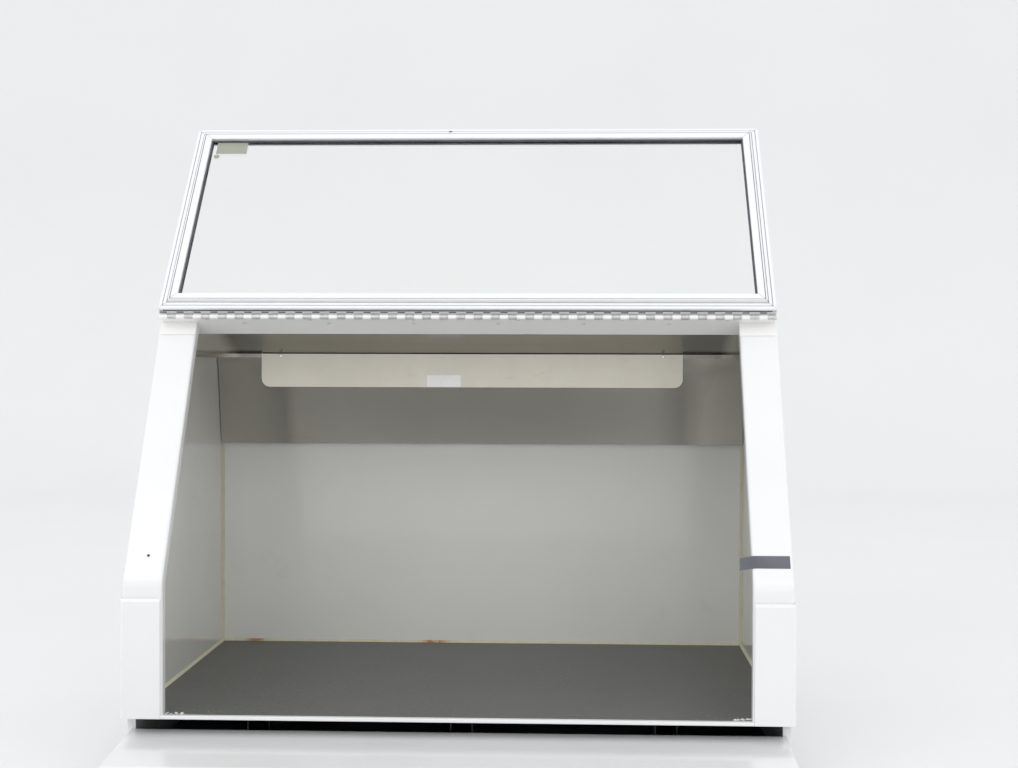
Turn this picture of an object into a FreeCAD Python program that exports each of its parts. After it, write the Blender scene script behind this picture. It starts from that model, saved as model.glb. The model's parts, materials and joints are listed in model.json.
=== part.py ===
import FreeCAD, Part
import math
import os

# A bench-top fume hood, 36 inches wide, with a framed glass sash that swings up on a piano hinge.
# Millimetres. X runs to the right seen from the front, Y to the back and Z up. The origin is on the
# bench, half-way from the apron's front to the end of the exhaust collar. The sash stands open at rest.

V = FreeCAD.Vector
X_AXIS = V(1, 0, 0)
Y_AXIS = V(0, 1, 0)
Z_AXIS = V(0, 0, 1)
ORIGIN = V(0, 0, 0)

# Overall
HEADER_WIDTH = 900.0          # header, hinge and sash
OVERALL_DEPTH = 778.0         # front of the apron to the end of the exhaust collar
COLLAR_REACH = 38.0           # the exhaust collar behind the rear panel
FACE_TO_APRON = 140.0         # how far the apron reaches in front of the posts
SILL_HEIGHT = 80.0            # top of the work surface above the bench
SHEET = 1.5                   # thickness of the light sheet parts
PLATE = 2.0                   # thickness of the posts, sleeves, header and apron
BEND = 2.0                    # inner radius of sheet bends
MATING_GAP = 0.3              # between parts that lie beside each other

FRONT_Y = -OVERALL_DEPTH / 2
FACE_Y = FRONT_Y + FACE_TO_APRON      # front face of the post sleeves
REAR_Y = OVERALL_DEPTH / 2 - COLLAR_REACH         # rear faces of the fasteners on the rear panel
HALF = HEADER_WIDTH / 2

# Side walls and posts
POST_OUTER = 453.5
POST_INNER = 398.5
POST_SETBACK = 3.0            # behind the sleeves' face
POST_DEPTH = 25.0
POST_BEND_RADIUS = 30.0
POST_LEAN = math.radians(29.7)      # from vertical
POST_RETURN = 16.0
SLEEVE_OUTER = 456.0
SLEEVE_INNER = 401.0
SLEEVE_TOP = 158.5            # above the sill
SLEEVE_SKIRT = 5.0            # below the sill
SLEEVE_BEVEL = 2.2
WALL_INNER = 443.0            # half the width of the work chamber
LINER = 3.0
CHAMBER_DEPTH = 580.0         # sleeve face to the back liner

# Piano hinge
PIN_SETBACK = 186.5           # behind the sleeves' face
PIN_RISE = 545.2              # above the sill
PIN_RADIUS = 1.6
PIN_CLEARANCE = 0.06
KNUCKLE_RADIUS = 3.7
KNUCKLE_PAIRS = 36
KNUCKLE_PITCH = HEADER_WIDTH / KNUCKLE_PAIRS
KNUCKLE_GAP = 0.35
LEAF_THICKNESS = 1.2
FIXED_LEAF_WIDTH = 19.0
SASH_LEAF_WIDTH = 17.0
LEAF_START = 4.3              # a leaf's plate begins this far from the pin, clear of the knuckles
HINGE_SCREW_PITCH = 152.4

# Sash
SASH_OPEN_LEAN = math.radians(41)     # from vertical, leaning back, at rest
SASH_START = 4.6              # hinge edge of the frame from the pin
SASH_LENGTH = 392.0
SASH_EDGE_THICKNESS = 14.0
SASH_LIP_THICKNESS = 18.5
RAIL_WIDTH = 26.0
RAIL_STEP = 11.6              # outer edge to the riser
RAIL_RISER = 1.4
RAIL_WALL = 3.0
POCKET_START = 17.0
POCKET_TOP = 13.5
GLASS_START = 19.0
GLASS_BACK = 6.0
GLASS_FRONT = 11.0
GASKET_LIP = 2.0              # visible beyond the frame's lip
EDGE_GROOVE = (6.4, 9.8)      # groove along the frame's hinge edge
EDGE_GROOVE_DEPTH = 3.0
MITRE_GAP = 0.12
SASH_STANDOFF = 0.7           # closed sash to the post faces
REST_LINE = -7.6              # front face of the rest brackets, from the sash's back
REST_REACH = 78.0             # how far up the sash they reach
REST_FOOT = 26.0
REST_GAP = 0.35               # rubber pad to the open sash

# Header, soffit, lamp and baffle
FLANGE_WIDTH = 55.5
CAP_THICKNESS = 1.2           # of the header's caps in front of the posts' tops
CAP_END = 19.0                # down the slope from the pin
HEADER_TOP_DEPTH = 34.0
ROOF_START = 14.6             # behind the pin, clear of the header's fold
RIVET_LINE = 24.0
RIVET_PITCH = 125.0
RIVET_COUNT = 6
RIVET_SHIFT = -15.3           # the row's middle, to the left of the hood's
RIVET_HEAD = (3.2, 0.9)       # radius and height
RIVET_SHANK = 4.0
HINGE_SCREW_COUNT = 6
HINGE_SCREW_LINE = 11.0       # from the pin
HINGE_SCREW_HEAD = (3.0, 1.1)
FIXED_SCREW_SHANK = 3.2
SASH_SCREW_SHANK = 5.0
SLOPE_SHANK_RADIUS = 1.5
SHIELD_SETBACK = 320.4
SHIELD_WIDTH = 649.0
SHIELD_BOTTOM = 440.5
SHIELD_TOP = 491.5
SHIELD_CORNER = 13.0
CEILING_RISE = 492.2
BAFFLE_BOTTOM = (567.0, 340.0)        # setback and rise of its lower edge
BAFFLE_LEAN = math.radians(11)
BAFFLE_FLANGE = 22.0
BAFFLE_HALF = 442.0
BRACKET_RISE = 420.0
BRACKET_COUNT = 4
BRACKET_PITCH = 250.0
BRACKET_HALF_HEIGHT = 12.0
BRACKET_PAD = 16.0
LAMP_RADIUS = 13.0
LAMP_LENGTH = 588.0
LAMP_PLACE = (346.0, 462.0)           # setback and rise of its axis
LAMP_PIN_RADIUS = 1.2
LAMP_PIN_LENGTH = 6.0
LAMP_PIN_SHIFT = 6.35                 # from the tube's axis
BALLAST_SIZE = (180.0, 42.0, 26.0)
BALLAST_OFFSET = 12.0                 # behind the lamp shield
REFLECTOR_DROP = 16.0
REFLECTOR_FRONT = (19.0, 12.0)        # its lower and upper corners in front of the lamp's axis
REFLECTOR_REAR = (24.0, 36.0)         # its upper and lower corners behind it
REFLECTOR_THICKNESS = 1.0
SOCKET_DEPTH = 13.0
SOCKET_HALF = 12.0

# Labels
FILM = 0.25
SASH_LABEL_SPAN = (-414.5, -365.5)
SASH_LABEL_HEIGHT = 26.0
SEAL_RADIUS = 4.6
SEAL_X = -412.5
SEAL_DROP = 32.5                      # below the label's top
LAMP_LABEL_SPAN = (-68.0, -16.0)
LAMP_LABEL_HEIGHT = 18.0

# Tape on the right post and the screw in the left one
TAPE_SPAN = (362.7, 380.9)            # down the slope from the pin
TAPE_THICKNESS = 0.3
TAPE_MARGIN = 2.0
TAPE_FLAP = 18.0
TAPE_CURL = 6.0
TAPE_DROOP = 4.0
POST_SCREW_X = -422.0
POST_SCREW_ALONG = 368.9
POST_SCREW_HEAD = (2.0, 0.3)

# Base
FOOT_HEIGHT = 10.0
FOOT_RADIUS = 15.0
FOOT_X = 400.0
FOOT_SETBACKS = (-115.0, 60.0, 560.0)
RUNNER_PITCH = 290.0
RUNNER_HALF = 16.0
RUNNER_START = 120.0
RUNNER_LENGTH = 430.0
SLAB_THICKNESS = 6.0
SLAB_SETBACK = 8.3
LIP_HEIGHT = 5.2
SEALANT_SIZE = 3.6
SEALANT_START = 24.0          # behind the sleeves' face
BASE_SETBACK = 30.0
BASE_RAIL_WIDTH = 11.2
APRON_HALF = 446.5
APRON_REAR_RISE = -24.0
APRON_SLOPE = math.radians(5)
APRON_RADIUS = 20.0

# Exhaust collar, cord gland and lamp switch
COLLAR_RISE = 450.0           # centre of the outlet, behind the baffle
COLLAR_RADIUS = 76.2
COLLAR_BORE = 74.2
COLLAR_THROAT = 75.2          # outer radius where it passes through the panels
COLLAR_FLANGE = 19.0          # beyond the spigot
COLLAR_SCREW_CIRCLE = COLLAR_RADIUS + 10
GLAND_X = -380.0
GLAND_Z = 150.0
GLAND_BORE = 4.0
GLAND_HOLE = 7.0
GLAND_RIM = 10.0
GLAND_NUT = 4.0
GLAND_LENGTH = 14.0
SWITCH_SETBACK = 292.0
SWITCH_RISE = 527.4
SWITCH_FLANGE = (10.5, 15.5)          # half width and half height
SWITCH_FLANGE_THICKNESS = 1.3
SWITCH_BODY = (8.8, 13.8)
SWITCH_DEPTH = 21.0
SWITCH_WINDOW = (6.7, 12.3)
SWITCH_WINDOW_DEPTH = 9.0
SWITCH_HOLE = (8.9, 13.9)
ROCKER_HALF = (6.3, 10.4)
ROCKER_VALLEY = 4.2                   # its middle, out from the pivot
ROCKER_PIN_RADIUS = 1.5
ROCKER_PIN_HALF = 8.0
ROCKER_SWING = 14.0
ROCKER_PIVOT_X = POST_OUTER - 3.5

ROOF_RISE = PIN_RISE                  # top face of the roof, level with the pin
PIN_Y = FACE_Y + PIN_SETBACK
PIN_Z = SILL_HEIGHT + PIN_RISE
STANDOFF_LINE = SASH_LIP_THICKNESS + SASH_STANDOFF
POST_LINE = STANDOFF_LINE + CAP_THICKNESS + 0.2       # front faces of the posts
FLANGE_LINE = -KNUCKLE_RADIUS
WALL_OFFSET = POST_DEPTH + MATING_GAP


def place_y(setback):
    """Y of a point this far behind the sleeves' face."""
    return FACE_Y + setback


def place_z(rise):
    """Z of a point this far above the work surface."""
    return SILL_HEIGHT + rise


def slope_point(along, inward):
    """(Y, Z) of a point on the closed sash: down the slope from the pin, and into the hood."""
    sine, cosine = math.sin(POST_LEAN), math.cos(POST_LEAN)
    return (PIN_Y - along * sine + inward * cosine, PIN_Z - along * cosine - inward * sine)


def sash_point(along, forward):
    """(Y, Z) of a point on the open sash: up the sash from the pin, and out of its front face."""
    sine, cosine = math.sin(SASH_OPEN_LEAN), math.cos(SASH_OPEN_LEAN)
    return (PIN_Y + along * sine - forward * cosine, PIN_Z + along * cosine + forward * sine)


def box(x0, x1, y0, y1, z0, z1):
    return Part.makeBox(x1 - x0, y1 - y0, z1 - z0, V(x0, y0, z0))


def cylinder(radius, start, direction, length):
    return Part.makeCylinder(radius, length, start, direction)


def prism_x(points, x0, x1):
    """Extrude a closed (Y, Z) outline along X."""
    outline = Part.makePolygon([V(x0, y, z) for y, z in points + points[:1]])
    return Part.Face(outline).extrude(V(x1 - x0, 0, 0))


def mirrored(shape):
    return shape.mirror(ORIGIN, X_AXIS)


def joined(shapes):
    """Fuse shapes into one solid."""
    return shapes[0].fuse(shapes[1:]).removeSplitter()


def group(shapes):
    """Keep shapes as separate solids of one node."""
    return Part.makeCompound([solid for shape in shapes for solid in shape.Solids])


def evenly(count, pitch):
    """Places of a centred row."""
    return [(index - (count - 1) / 2) * pitch for index in range(count)]


def turned_direction(start, end):
    length = math.hypot(end[0] - start[0], end[1] - start[1])
    return ((end[0] - start[0]) / length, (end[1] - start[1]) / length)


def offset_corner(before, corner, after, distance):
    """The corner moved sideways to the left of both runs that meet there."""
    first = turned_direction(before, corner)
    second = turned_direction(corner, after)
    turn = first[0] * second[1] - first[1] * second[0]
    if abs(turn) < 1e-9:
        return (corner[0] - first[1] * distance, corner[1] + first[0] * distance)
    share = (second[0] * first[0] + second[1] * first[1] - 1) / turn
    return (corner[0] - first[1] * distance + first[0] * share * distance,
            corner[1] + first[0] * distance + first[1] * share * distance)


def offset_path(points, distance):
    """The open polyline moved sideways to its left."""
    first = turned_direction(points[0], points[1])
    last = turned_direction(points[-2], points[-1])
    moved = [(points[0][0] - first[1] * distance, points[0][1] + first[0] * distance)]
    for before, corner, after in zip(points, points[1:], points[2:]):
        moved.append(offset_corner(before, corner, after, distance))
    moved.append((points[-1][0] - last[1] * distance, points[-1][1] + last[0] * distance))
    return moved


def rounded_edges(points, radii, to_vector):
    """Edges along an open polyline whose inner corners are arcs."""
    edges = []
    start = points[0]
    for before, corner, after, radius in zip(points, points[1:], points[2:], radii):
        first = turned_direction(before, corner)
        second = turned_direction(corner, after)
        turn = math.acos(max(-1.0, min(1.0, first[0] * second[0] + first[1] * second[1])))
        reach = radius * math.tan(turn / 2)
        arc_start = (corner[0] - first[0] * reach, corner[1] - first[1] * reach)
        arc_end = (corner[0] + second[0] * reach, corner[1] + second[1] * reach)
        towards = turned_direction((0, 0), (second[0] - first[0], second[1] - first[1]))
        sagitta = radius / math.cos(turn / 2) - radius
        middle = (corner[0] + towards[0] * sagitta, corner[1] + towards[1] * sagitta)
        edges.append(Part.makeLine(to_vector(*start), to_vector(*arc_start)))
        edges.append(Part.Arc(to_vector(*arc_start), to_vector(*middle), to_vector(*arc_end)).toShape())
        start = arc_end
    edges.append(Part.makeLine(to_vector(*start), to_vector(*points[-1])))
    return edges


def bent_sheet(points, thickness, to_vector, bend=BEND):
    """Section of a bent sheet: one face follows the points, and the other is to their left.

    A negative thickness puts the other face to their right.
    """
    outer_radii = []
    inner_radii = []
    for before, corner, after in zip(points, points[1:], points[2:]):
        first = turned_direction(before, corner)
        second = turned_direction(corner, after)
        turns_inwards = (first[0] * second[1] - first[1] * second[0]) * thickness > 0
        outer_radii.append(bend + abs(thickness) if turns_inwards else bend)
        inner_radii.append(bend if turns_inwards else bend + abs(thickness))
    other_side = offset_path(points, thickness)
    edges = rounded_edges(points, outer_radii, to_vector)
    edges.append(Part.makeLine(to_vector(*points[-1]), to_vector(*other_side[-1])))
    edges += rounded_edges(other_side[::-1], inner_radii[::-1], to_vector)
    edges.append(Part.makeLine(to_vector(*other_side[0]), to_vector(*points[0])))
    return Part.Wire(Part.__sortEdges__(edges))


def sheet_x(points, thickness, x0, x1, bend=BEND):
    """A bent sheet whose (Y, Z) section runs along X."""
    section = bent_sheet(points, thickness, lambda y, z: V(x0, y, z), bend)
    return Part.Face(section).extrude(V(x1 - x0, 0, 0))


def sheet_z(points, thickness, z0, z1, bend=BEND):
    """A bent sheet whose (X, Y) section runs along Z."""
    section = bent_sheet(points, thickness, lambda x, y: V(x, y, z0), bend)
    return Part.Face(section).extrude(V(0, 0, z1 - z0))


def screw(place, direction, head_radius, head_height, shank_radius, shank_length):
    """A button-head screw: the place is under its head, the direction points out of the head."""
    head = cylinder(head_radius, place, direction, head_height)
    head = head.makeFillet(head_height * 0.6, [head.Edges[0]])
    shank = cylinder(shank_radius, place - direction * shank_length, direction, shank_length)
    return joined([head, shank])


# Front line of the posts, and the walls behind it

def front_line(offset):
    """Bottom, bend and top of the posts' front line, moved back into the hood by an offset."""
    face = FACE_Y + POST_SETBACK
    bottom = (face, SILL_HEIGHT)
    inward = POST_LINE * math.cos(POST_LEAN)
    along = (PIN_Y + inward - face) / math.sin(POST_LEAN)
    bend = slope_point(along, POST_LINE)
    top = slope_point(FLANGE_LINE, POST_LINE)
    return offset_path([bottom, bend, top], -offset)


def wall_outline(bottom, rear, top):
    """Closed (Y, Z) outline of a side wall that starts behind the posts."""
    line = front_line(WALL_OFFSET)
    lean = turned_direction(line[1], line[2])
    reach = (top - line[1][1]) / lean[1]
    return [(line[0][0], bottom), line[1], (line[1][0] + lean[0] * reach, top), (rear, top), (rear, bottom)]


def make_post():
    """Right-hand post: a channel bent to the line of the sash."""
    face = FACE_Y + POST_SETBACK
    section = bent_sheet([(POST_INNER, face + POST_RETURN), (POST_INNER, face), (POST_OUTER, face),
                          (POST_OUTER, face + POST_DEPTH)], PLATE, lambda x, y: V(x, y, SILL_HEIGHT))
    path = rounded_edges(front_line(0), [POST_BEND_RADIUS], lambda y, z: V(POST_OUTER, y, z))
    return Part.Wire(path).makePipeShell([section], True, False)


def make_sleeve():
    """Right-hand sleeve over the foot of the post, with a bevelled top and a skirt over the sill."""
    top = place_z(SLEEVE_TOP)
    body = sheet_z([(SLEEVE_INNER, FACE_Y), (SLEEVE_OUTER, FACE_Y), (SLEEVE_OUTER, FACE_Y + 42)],
                   PLATE, SILL_HEIGHT, top)
    skirt = sheet_z([(SLEEVE_INNER, FACE_Y), (SLEEVE_OUTER, FACE_Y), (SLEEVE_OUTER, FACE_Y + 26)],
                    PLATE, SILL_HEIGHT - SLEEVE_SKIRT, SILL_HEIGHT)
    front_bevel = prism_x([(FACE_Y - 1, top - 2 * SLEEVE_BEVEL), (FACE_Y - 1, top + 1),
                           (FACE_Y + SLEEVE_BEVEL, top + 1), (FACE_Y + SLEEVE_BEVEL - 0.6, top - 0.2),
                           (FACE_Y, top - 2 * SLEEVE_BEVEL)], SLEEVE_INNER - 5, SLEEVE_OUTER + 5)
    return joined([body, skirt]).cut(front_bevel)


def make_side_panel(header):
    outline = wall_outline(place_z(-SLEEVE_SKIRT), REAR_Y - LINER, place_z(ROOF_RISE) - SHEET)
    return prism_x(outline, POST_OUTER - LINER, POST_OUTER).cut(header)


def make_liner(header):
    outline = wall_outline(place_z(-SLEEVE_SKIRT), place_y(CHAMBER_DEPTH), place_z(ROOF_RISE) - SHEET)
    return prism_x(outline, WALL_INNER, WALL_INNER + LINER).cut(header)


def outlet_hole():
    """The round hole for the exhaust collar, through the back liner and the rear panel."""
    start = place_y(CHAMBER_DEPTH) - LINER
    return cylinder(COLLAR_THROAT + MATING_GAP, V(0, start, place_z(COLLAR_RISE)), Y_AXIS, REAR_Y - start)


def make_back_liner():
    back = place_y(CHAMBER_DEPTH)
    liner = box(-WALL_INNER - LINER, WALL_INNER + LINER, back, back + LINER,
                place_z(-SLEEVE_SKIRT), place_z(ROOF_RISE) - SHEET)
    return liner.cut(outlet_hole())


def make_rear_panel():
    panel = box(-POST_OUTER, POST_OUTER, REAR_Y - LINER, REAR_Y - SHEET,
                FOOT_HEIGHT, place_z(ROOF_RISE) - SHEET)
    return panel.cut(outlet_hole()).cut(cylinder(GLAND_HOLE, V(GLAND_X, REAR_Y - 10, GLAND_Z), Y_AXIS, 20))


def make_roof():
    return box(-POST_OUTER, POST_OUTER, place_y(PIN_SETBACK + ROOF_START), REAR_Y - SHEET,
               place_z(ROOF_RISE) - SHEET, place_z(ROOF_RISE))


# Header and hinge

def make_header():
    """The flange across the top of the opening, folded back over the roof, with caps over the posts' tops."""
    top = place_z(ROOF_RISE) + PLATE
    fold = (-FLANGE_LINE * math.cos(POST_LEAN) - (top - PIN_Z)) / math.sin(POST_LEAN)
    outer = [(PIN_Y + HEADER_TOP_DEPTH, top), slope_point(FLANGE_LINE, fold),
             slope_point(FLANGE_LINE, FLANGE_WIDTH)]
    back = STANDOFF_LINE + CAP_THICKNESS
    face = [slope_point(FLANGE_LINE - 0.5, STANDOFF_LINE), slope_point(CAP_END, STANDOFF_LINE),
            slope_point(CAP_END, back), slope_point(FLANGE_LINE - 0.5, back)]
    caps = [prism_x(face, -HALF, -POST_INNER), prism_x(face, POST_INNER, HALF)]
    return joined([sheet_x(outer, PLATE, -HALF, HALF, bend=0.6)] + caps)


def knuckles(first):
    """Every second knuckle of the hinge, starting with the first or the second."""
    length = KNUCKLE_PITCH / 2 - KNUCKLE_GAP
    starts = [-HALF + KNUCKLE_GAP / 2 + (2 * index + first) * KNUCKLE_PITCH / 2
              for index in range(KNUCKLE_PAIRS)]
    return starts, length


def make_leaf(first, plate_outline, web_outline, pin_place):
    """A hinge leaf: a plate with knuckles joined to it by webs, bored for the pin."""
    starts, length = knuckles(first)
    parts = [prism_x(plate_outline, -HALF + KNUCKLE_GAP / 2, HALF - KNUCKLE_GAP / 2)]
    for start in starts:
        barrel = cylinder(KNUCKLE_RADIUS, V(start, *pin_place), X_AXIS, length)
        web = prism_x(web_outline, start, start + length)
        parts.append(barrel.fuse(web))
    leaf = joined(parts)
    bore = cylinder(PIN_RADIUS + PIN_CLEARANCE, V(-HALF - 5, *pin_place), X_AXIS, HEADER_WIDTH + 10)
    return leaf.cut(bore)


def make_fixed_leaf():
    """The leaf under the header's flange."""
    far, near = FLANGE_LINE, FLANGE_LINE + LEAF_THICKNESS
    plate = [slope_point(far, LEAF_START), slope_point(far, FIXED_LEAF_WIDTH),
             slope_point(near, FIXED_LEAF_WIDTH), slope_point(near, LEAF_START)]
    web = [slope_point(far, 0), slope_point(far, LEAF_START), slope_point(near, LEAF_START),
           slope_point(near, 0)]
    return make_leaf(0, plate, web, (PIN_Y, PIN_Z))


def make_hinge_pin():
    length = HEADER_WIDTH - KNUCKLE_GAP
    return cylinder(PIN_RADIUS, V(-length / 2, PIN_Y, PIN_Z), X_AXIS, length)


def slope_vector(along, inward):
    return V(0, -along * math.sin(POST_LEAN) + inward * math.cos(POST_LEAN),
             -along * math.cos(POST_LEAN) - inward * math.sin(POST_LEAN))


def make_slope_screws(places, line, inward, head_radius, head_height, shank_length):
    """A row of fasteners whose heads face down the slope."""
    y, z = slope_point(line, inward)
    out = slope_vector(1, 0)
    return group([screw(V(x, y, z), out, head_radius, head_height, SLOPE_SHANK_RADIUS, shank_length)
                  for x in places])


# Soffit, lamp and baffle

def make_soffit():
    """The polished sheet from the header's flange down to the lamp shield."""
    start = slope_point(FLANGE_LINE + 0.1, FLANGE_WIDTH + 0.5)
    hem = place_y(SHIELD_SETBACK + SHEET + 0.1)
    knee = (hem, place_z(CEILING_RISE - 0.6))
    outer = [start, knee, (hem, place_z(CEILING_RISE - 6.5))]
    return sheet_x(outer, SHEET, -WALL_INNER + MATING_GAP, WALL_INNER - MATING_GAP, bend=0.5)


def make_ceiling():
    front = place_y(SHIELD_SETBACK + 2 * SHEET + 0.8)
    rise = CEILING_RISE
    rear = baffle_setback(rise) - 0.6
    return box(-WALL_INNER + MATING_GAP, WALL_INNER - MATING_GAP, front, place_y(rear),
               place_z(rise), place_z(rise) + SHEET)


def baffle_setback(rise):
    return BAFFLE_BOTTOM[0] - math.tan(BAFFLE_LEAN) * (rise - BAFFLE_BOTTOM[1])


def make_baffle():
    """The brushed sheet in front of the exhaust slot, flanged forward over the ceiling."""
    flange_rise = CEILING_RISE + 2 * SHEET
    corner_y = place_y(baffle_setback(flange_rise))
    outer = [(place_y(BAFFLE_BOTTOM[0]), place_z(BAFFLE_BOTTOM[1])), (corner_y, place_z(flange_rise)),
             (corner_y - BAFFLE_FLANGE, place_z(flange_rise))]
    return sheet_x(outer, -SHEET, -BAFFLE_HALF, BAFFLE_HALF, bend=0.8)


def make_baffle_brackets():
    """Small angles that hold the baffle off the back liner, beside the outlet."""
    rise = BRACKET_RISE
    back = place_y(CHAMBER_DEPTH)
    skin = SHEET / math.cos(BAFFLE_LEAN)
    low, high = rise - BRACKET_HALF_HEIGHT, rise + BRACKET_HALF_HEIGHT
    brackets = []
    for x in evenly(BRACKET_COUNT, BRACKET_PITCH):
        web = prism_x([(place_y(baffle_setback(low) + skin), place_z(low)), (back, place_z(low)),
                       (back, place_z(high)), (place_y(baffle_setback(high) + skin), place_z(high))],
                      x - PLATE / 2, x + PLATE / 2)
        pad = box(x - PLATE / 2, x + BRACKET_PAD, back - PLATE, back, place_z(low), place_z(high))
        brackets.append(joined([web, pad]))
    return group(brackets)


def make_lamp_shield():
    """The hanging valance in front of the lamp, with round lower corners."""
    half = SHIELD_WIDTH / 2
    face = place_y(SHIELD_SETBACK)
    plate = box(-half, half, face - SHEET, face, place_z(SHIELD_BOTTOM), place_z(SHIELD_TOP))
    corners = [edge for edge in plate.Edges
               if abs(edge.Vertexes[0].Z - place_z(SHIELD_BOTTOM)) < 0.01
               and abs(edge.Vertexes[1].Z - place_z(SHIELD_BOTTOM)) < 0.01 and edge.Length < 2]
    return plate.makeFillet(SHIELD_CORNER, corners)


def make_lamp_tube():
    y, z = place_y(LAMP_PLACE[0]), place_z(LAMP_PLACE[1])
    half = LAMP_LENGTH / 2
    glass = cylinder(LAMP_RADIUS, V(-half, y, z), X_AXIS, LAMP_LENGTH)
    pins = [cylinder(LAMP_PIN_RADIUS, V(side * half, y + shift, z), X_AXIS * side, LAMP_PIN_LENGTH)
            for side in (-1, 1) for shift in (-LAMP_PIN_SHIFT, LAMP_PIN_SHIFT)]
    return joined([glass] + pins)


def make_lamp_sockets():
    """A pair of end holders that hang from the ceiling."""
    y, z = place_y(LAMP_PLACE[0]), place_z(LAMP_PLACE[1])
    half = LAMP_LENGTH / 2
    sockets = []
    for side in (-1, 1):
        inner = side * (half + MATING_GAP)
        outer = side * (half + SOCKET_DEPTH)
        block = box(min(inner, outer), max(inner, outer), y - SOCKET_HALF, y + SOCKET_HALF,
                    z - SOCKET_HALF, place_z(CEILING_RISE))
        for shift in (-LAMP_PIN_SHIFT, LAMP_PIN_SHIFT):
            hole_start = V(side * half, y + shift, z)
            block = block.cut(cylinder(LAMP_PIN_RADIUS + 0.1, hole_start, X_AXIS * side, LAMP_PIN_LENGTH + 2))
        sockets.append(block)
    return group(sockets)


def make_lamp_reflector():
    """A shallow white trough between the lamp and the ceiling."""
    y, top = place_y(LAMP_PLACE[0]), place_z(CEILING_RISE)
    outer = [(y - REFLECTOR_FRONT[0], top - REFLECTOR_DROP), (y - REFLECTOR_FRONT[1], top),
             (y + REFLECTOR_REAR[0], top), (y + REFLECTOR_REAR[1], top - REFLECTOR_DROP)]
    half = LAMP_LENGTH / 2 - 4
    return sheet_x(outer, -REFLECTOR_THICKNESS, -half, half, bend=1.0)


def make_ballast():
    """The lamp's control gear, on top of the ceiling sheet."""
    length, depth, height = BALLAST_SIZE
    y = place_y(SHIELD_SETBACK + BALLAST_OFFSET)
    z = place_z(CEILING_RISE) + SHEET
    case = box(-length / 2, length / 2, y, y + depth, z, z + height)
    return case.makeFillet(BEND, [edge for edge in case.Edges if edge.Length <= height])


# Base and work surface

def make_work_surface():
    return box(-WALL_INNER + 1, WALL_INNER - 1, place_y(SLAB_SETBACK), place_y(CHAMBER_DEPTH - 0.5),
               place_z(-SLAB_THICKNESS), SILL_HEIGHT)


def make_sill_rail():
    """The white lip along the front of the slab, between the sleeves."""
    half = SLEEVE_INNER - MATING_GAP
    rail = box(-half, half, FACE_Y, place_y(SLAB_SETBACK), place_z(-LIP_HEIGHT), SILL_HEIGHT)
    front = [edge for edge in rail.Edges
             if edge.Length > 100 and abs(edge.Vertexes[0].Y - FACE_Y) < 0.01]
    return rail.makeFillet(1.2, front)


def make_floor_supports():
    """Hat-section runners that carry the slab on the base pan."""
    runners = []
    foot, top = FOOT_HEIGHT + 2 * SHEET, place_z(-SLAB_THICKNESS)
    for x in evenly(3, RUNNER_PITCH):
        outer = [(x - 2 * RUNNER_HALF, foot), (x - RUNNER_HALF, foot), (x - RUNNER_HALF, top),
                 (x + RUNNER_HALF, top), (x + RUNNER_HALF, foot), (x + 2 * RUNNER_HALF, foot)]
        section = bent_sheet(outer, -SHEET, lambda across, z: V(across, place_y(RUNNER_START), z), 1.0)
        runners.append(Part.Face(section).extrude(V(0, RUNNER_LENGTH, 0)))
    return group(runners)


def make_base_rail():
    """Right-hand hollow rail that carries the side wall."""
    x0, x1 = POST_OUTER - BASE_RAIL_WIDTH, POST_OUTER
    z0, z1 = FOOT_HEIGHT, place_z(-SLEEVE_SKIRT) - 0.1
    y0, y1 = place_y(BASE_SETBACK), REAR_Y - LINER
    core = box(x0 + PLATE, x1 - PLATE, y0 + PLATE, y1 + 5, z0 + PLATE, z1 - PLATE)
    return box(x0, x1, y0, y1, z0, z1).cut(core)


def make_base_pan():
    """The bottom sheet of the base, under the slab and the apron."""
    half = POST_OUTER - BASE_RAIL_WIDTH - MATING_GAP
    return box(-half, half, FRONT_Y + PLATE + 1, REAR_Y - LINER,
               FOOT_HEIGHT, FOOT_HEIGHT + SHEET)


def apron_rise(setback):
    return APRON_REAR_RISE + math.tan(APRON_SLOPE) * (setback - BASE_SETBACK)


def apron_outline():
    """(Y, Z) line of the apron's outer side, from its rear foot over the top to its front foot."""
    rear = place_y(BASE_SETBACK) - MATING_GAP
    front = FRONT_Y
    bottom = FOOT_HEIGHT + SHEET + 0.1
    rear_top = place_z(apron_rise(BASE_SETBACK))
    front_top = place_z(apron_rise(-FACE_TO_APRON))
    return [(rear, bottom), (rear, rear_top), (front, front_top), (front, FOOT_HEIGHT)]


def make_apron():
    """The rounded armrest in front of the hood."""
    points = apron_outline()
    edges_outer = rounded_edges(points, [BEND + PLATE, APRON_RADIUS], lambda y, z: V(-APRON_HALF, y, z))
    inner = offset_path(points, PLATE)
    edges_inner = rounded_edges(inner[::-1], [APRON_RADIUS - PLATE, BEND], lambda y, z: V(-APRON_HALF, y, z))
    ends = [Part.makeLine(edges_outer[-1].Vertexes[-1].Point, edges_inner[0].Vertexes[0].Point),
            Part.makeLine(edges_inner[-1].Vertexes[-1].Point, edges_outer[0].Vertexes[0].Point)]
    section = Part.Wire(Part.__sortEdges__(edges_outer + edges_inner + ends))
    return Part.Face(section).extrude(V(2 * APRON_HALF, 0, 0))


def make_apron_cap():
    """Right-hand end plate inside the apron."""
    inner = offset_path(apron_outline(), PLATE + 0.1)
    inner[0] = (inner[0][0], FOOT_HEIGHT + SHEET + 0.1)
    inner[-1] = (inner[-1][0], FOOT_HEIGHT + SHEET + 0.1)
    edges = rounded_edges(inner, [BEND, APRON_RADIUS - PLATE - 0.1], lambda y, z: V(APRON_HALF - PLATE, y, z))
    edges.append(Part.makeLine(edges[-1].Vertexes[-1].Point, edges[0].Vertexes[0].Point))
    return Part.Face(Part.Wire(Part.__sortEdges__(edges))).extrude(V(PLATE, 0, 0))


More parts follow.
